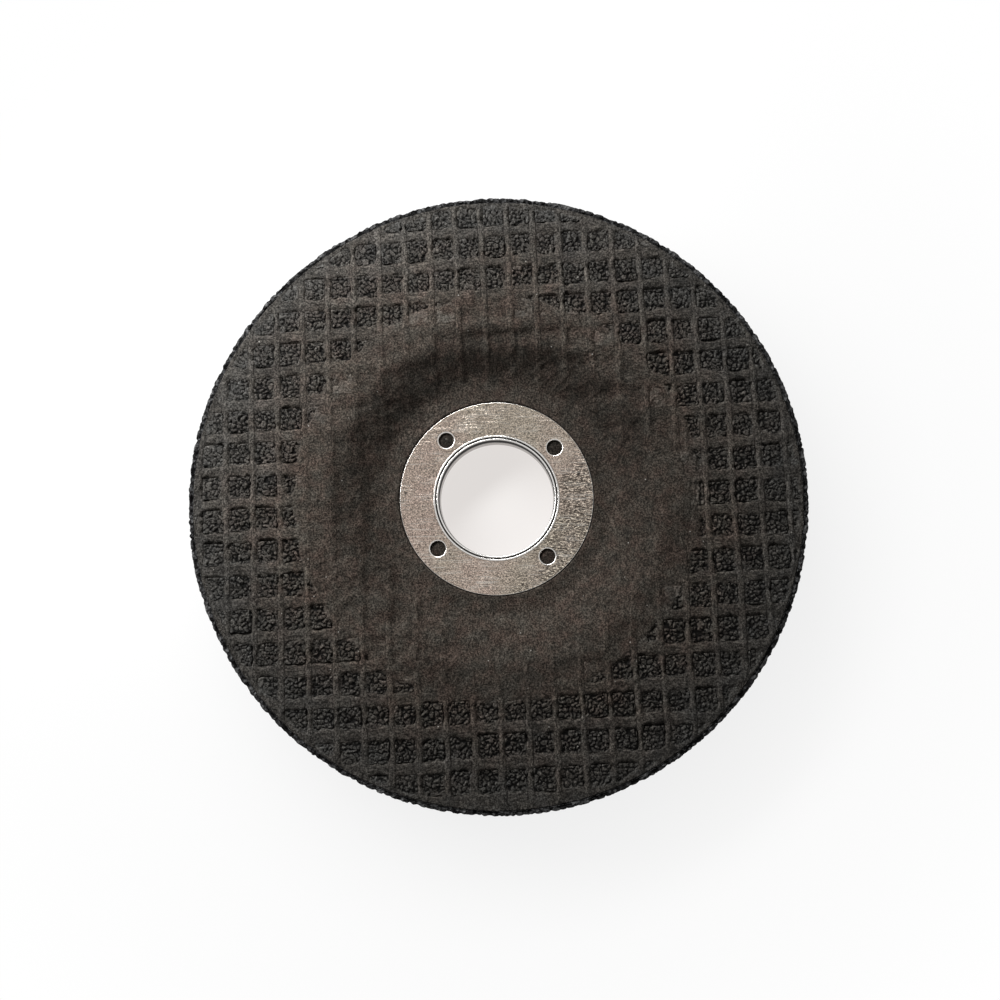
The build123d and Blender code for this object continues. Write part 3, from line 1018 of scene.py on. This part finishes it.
def seen_ray(tree):
    """1 for a ray that shows the ground itself: to the camera, mirrored in metal or let through."""
    path = tree.nodes.new("ShaderNodeLightPath")
    seen = path.outputs["Is Camera Ray"]
    for ray in ("Is Glossy Ray", "Is Transmission Ray"):
        either = tree.nodes.new("ShaderNodeMath")
        either.operation = "MAXIMUM"
        tree.links.new(seen, either.inputs[0])
        tree.links.new(path.outputs[ray], either.inputs[1])
        seen = either.outputs[0]
    return seen


def floor_material():
    """Plain white, nearly shadowless to the camera, with a painted warm shade in the bore."""
    w = Wiring("white_floor")
    w.surface.inputs["Base Color"].default_value = (0.9, 0.9, 0.9, 1.0)
    w.surface.inputs["Roughness"].default_value = 0.9
    far = w.add("ShaderNodeVectorMath", operation="LENGTH")
    w.feed(far.inputs[0], w.object_place)
    glow = w.add("ShaderNodeEmission")
    # Painted shade: under the bore the floor glows a darker, warmer white.
    w.feed(glow.inputs["Color"], w.ramp(far.outputs["Value"], (0.015, (0.9, 0.86, 0.835)), (0.04, 1.0)))
    glow.inputs["Strength"].default_value = 1.0
    glow_share = w.ramp(far.outputs["Value"], (0.015, 0.81), (0.055, 0.83), (0.085, 0.94), (0.13, 1.0))
    mixed = w.add("ShaderNodeMixShader")
    w.feed(mixed.inputs[0], w.math("MULTIPLY", seen_ray(w.tree), glow_share))
    w.feed(mixed.inputs[1], w.surface.outputs[0])
    w.feed(mixed.inputs[2], glow.outputs[0])
    w.feed(w.tree.nodes["Material Output"].inputs["Surface"], mixed.outputs[0])
    return w.material


def make_floor():
    """A wide floor under the disc."""
    floor_width = 6.0
    deselect()
    bpy.ops.mesh.primitive_plane_add(size=floor_width)
    floor = bpy.context.object
    floor.name = "floor"
    floor.data.materials.append(floor_material())


def make_world():
    """A white studio that lights the disc only faintly, so that the lamp shapes it."""
    light_on_disc, seen_white = 0.05, 1.0
    world = bpy.data.worlds.new("studio")
    bpy.context.scene.world = world
    world.use_nodes = True
    nodes, links = world.node_tree.nodes, world.node_tree.links
    strength = nodes.new("ShaderNodeMix")
    links.new(seen_ray(world.node_tree), strength.inputs["Factor"])
    strength.inputs["A"].default_value = light_on_disc
    strength.inputs["B"].default_value = seen_white
    links.new(strength.outputs[0], nodes["Background"].inputs["Strength"])
    nodes["Background"].inputs["Color"].default_value = (1, 1, 1, 1)


def soft_lamp(name, azimuth, elevation, distance, width, depth, power):
    """A wide soft lamp, aimed at the disc from a compass angle (0 is +X) and a height angle."""
    a, e = math.radians(azimuth), math.radians(elevation)
    away = Vector((math.cos(a) * math.cos(e), math.sin(a) * math.cos(e), math.sin(e)))
    lamp = bpy.data.lights.new(name, "AREA")
    lamp.shape = "RECTANGLE"
    lamp.size = width
    lamp.size_y = depth
    lamp.energy = power
    stand = bpy.data.objects.new(name, lamp)
    stand.location = away * distance
    stand.rotation_euler = away.to_track_quat("Z", "Y").to_euler()
    stand.visible_camera = False
    bpy.context.collection.objects.link(stand)


def make_camera():
    """The photograph's view, fitted to its circles: nearly straight down, from a little south."""
    position = Vector((3.917, -13.638, 149.641)) * mm
    target = Vector((0.795, -0.835, 10.6)) * mm
    forward = (target - position).normalized()
    right = forward.cross(Vector((0, 1, 0))).normalized()
    up = right.cross(forward)
    data = bpy.data.cameras.new("camera")
    data.lens = 27.2
    data.sensor_width = 36.0
    data.clip_start = 0.01
    camera = bpy.data.objects.new("camera", data)
    turn = Matrix((right, up, -forward)).transposed().to_4x4()
    camera.matrix_world = Matrix.Translation(position) @ turn
    bpy.context.collection.objects.link(camera)
    bpy.context.scene.camera = camera


make_floor()
make_world()
soft_lamp("window", azimuth=129, elevation=35, distance=0.16, width=0.26, depth=0.03, power=0.58)
make_camera()
bpy.context.scene.view_settings.view_transform = "Standard"
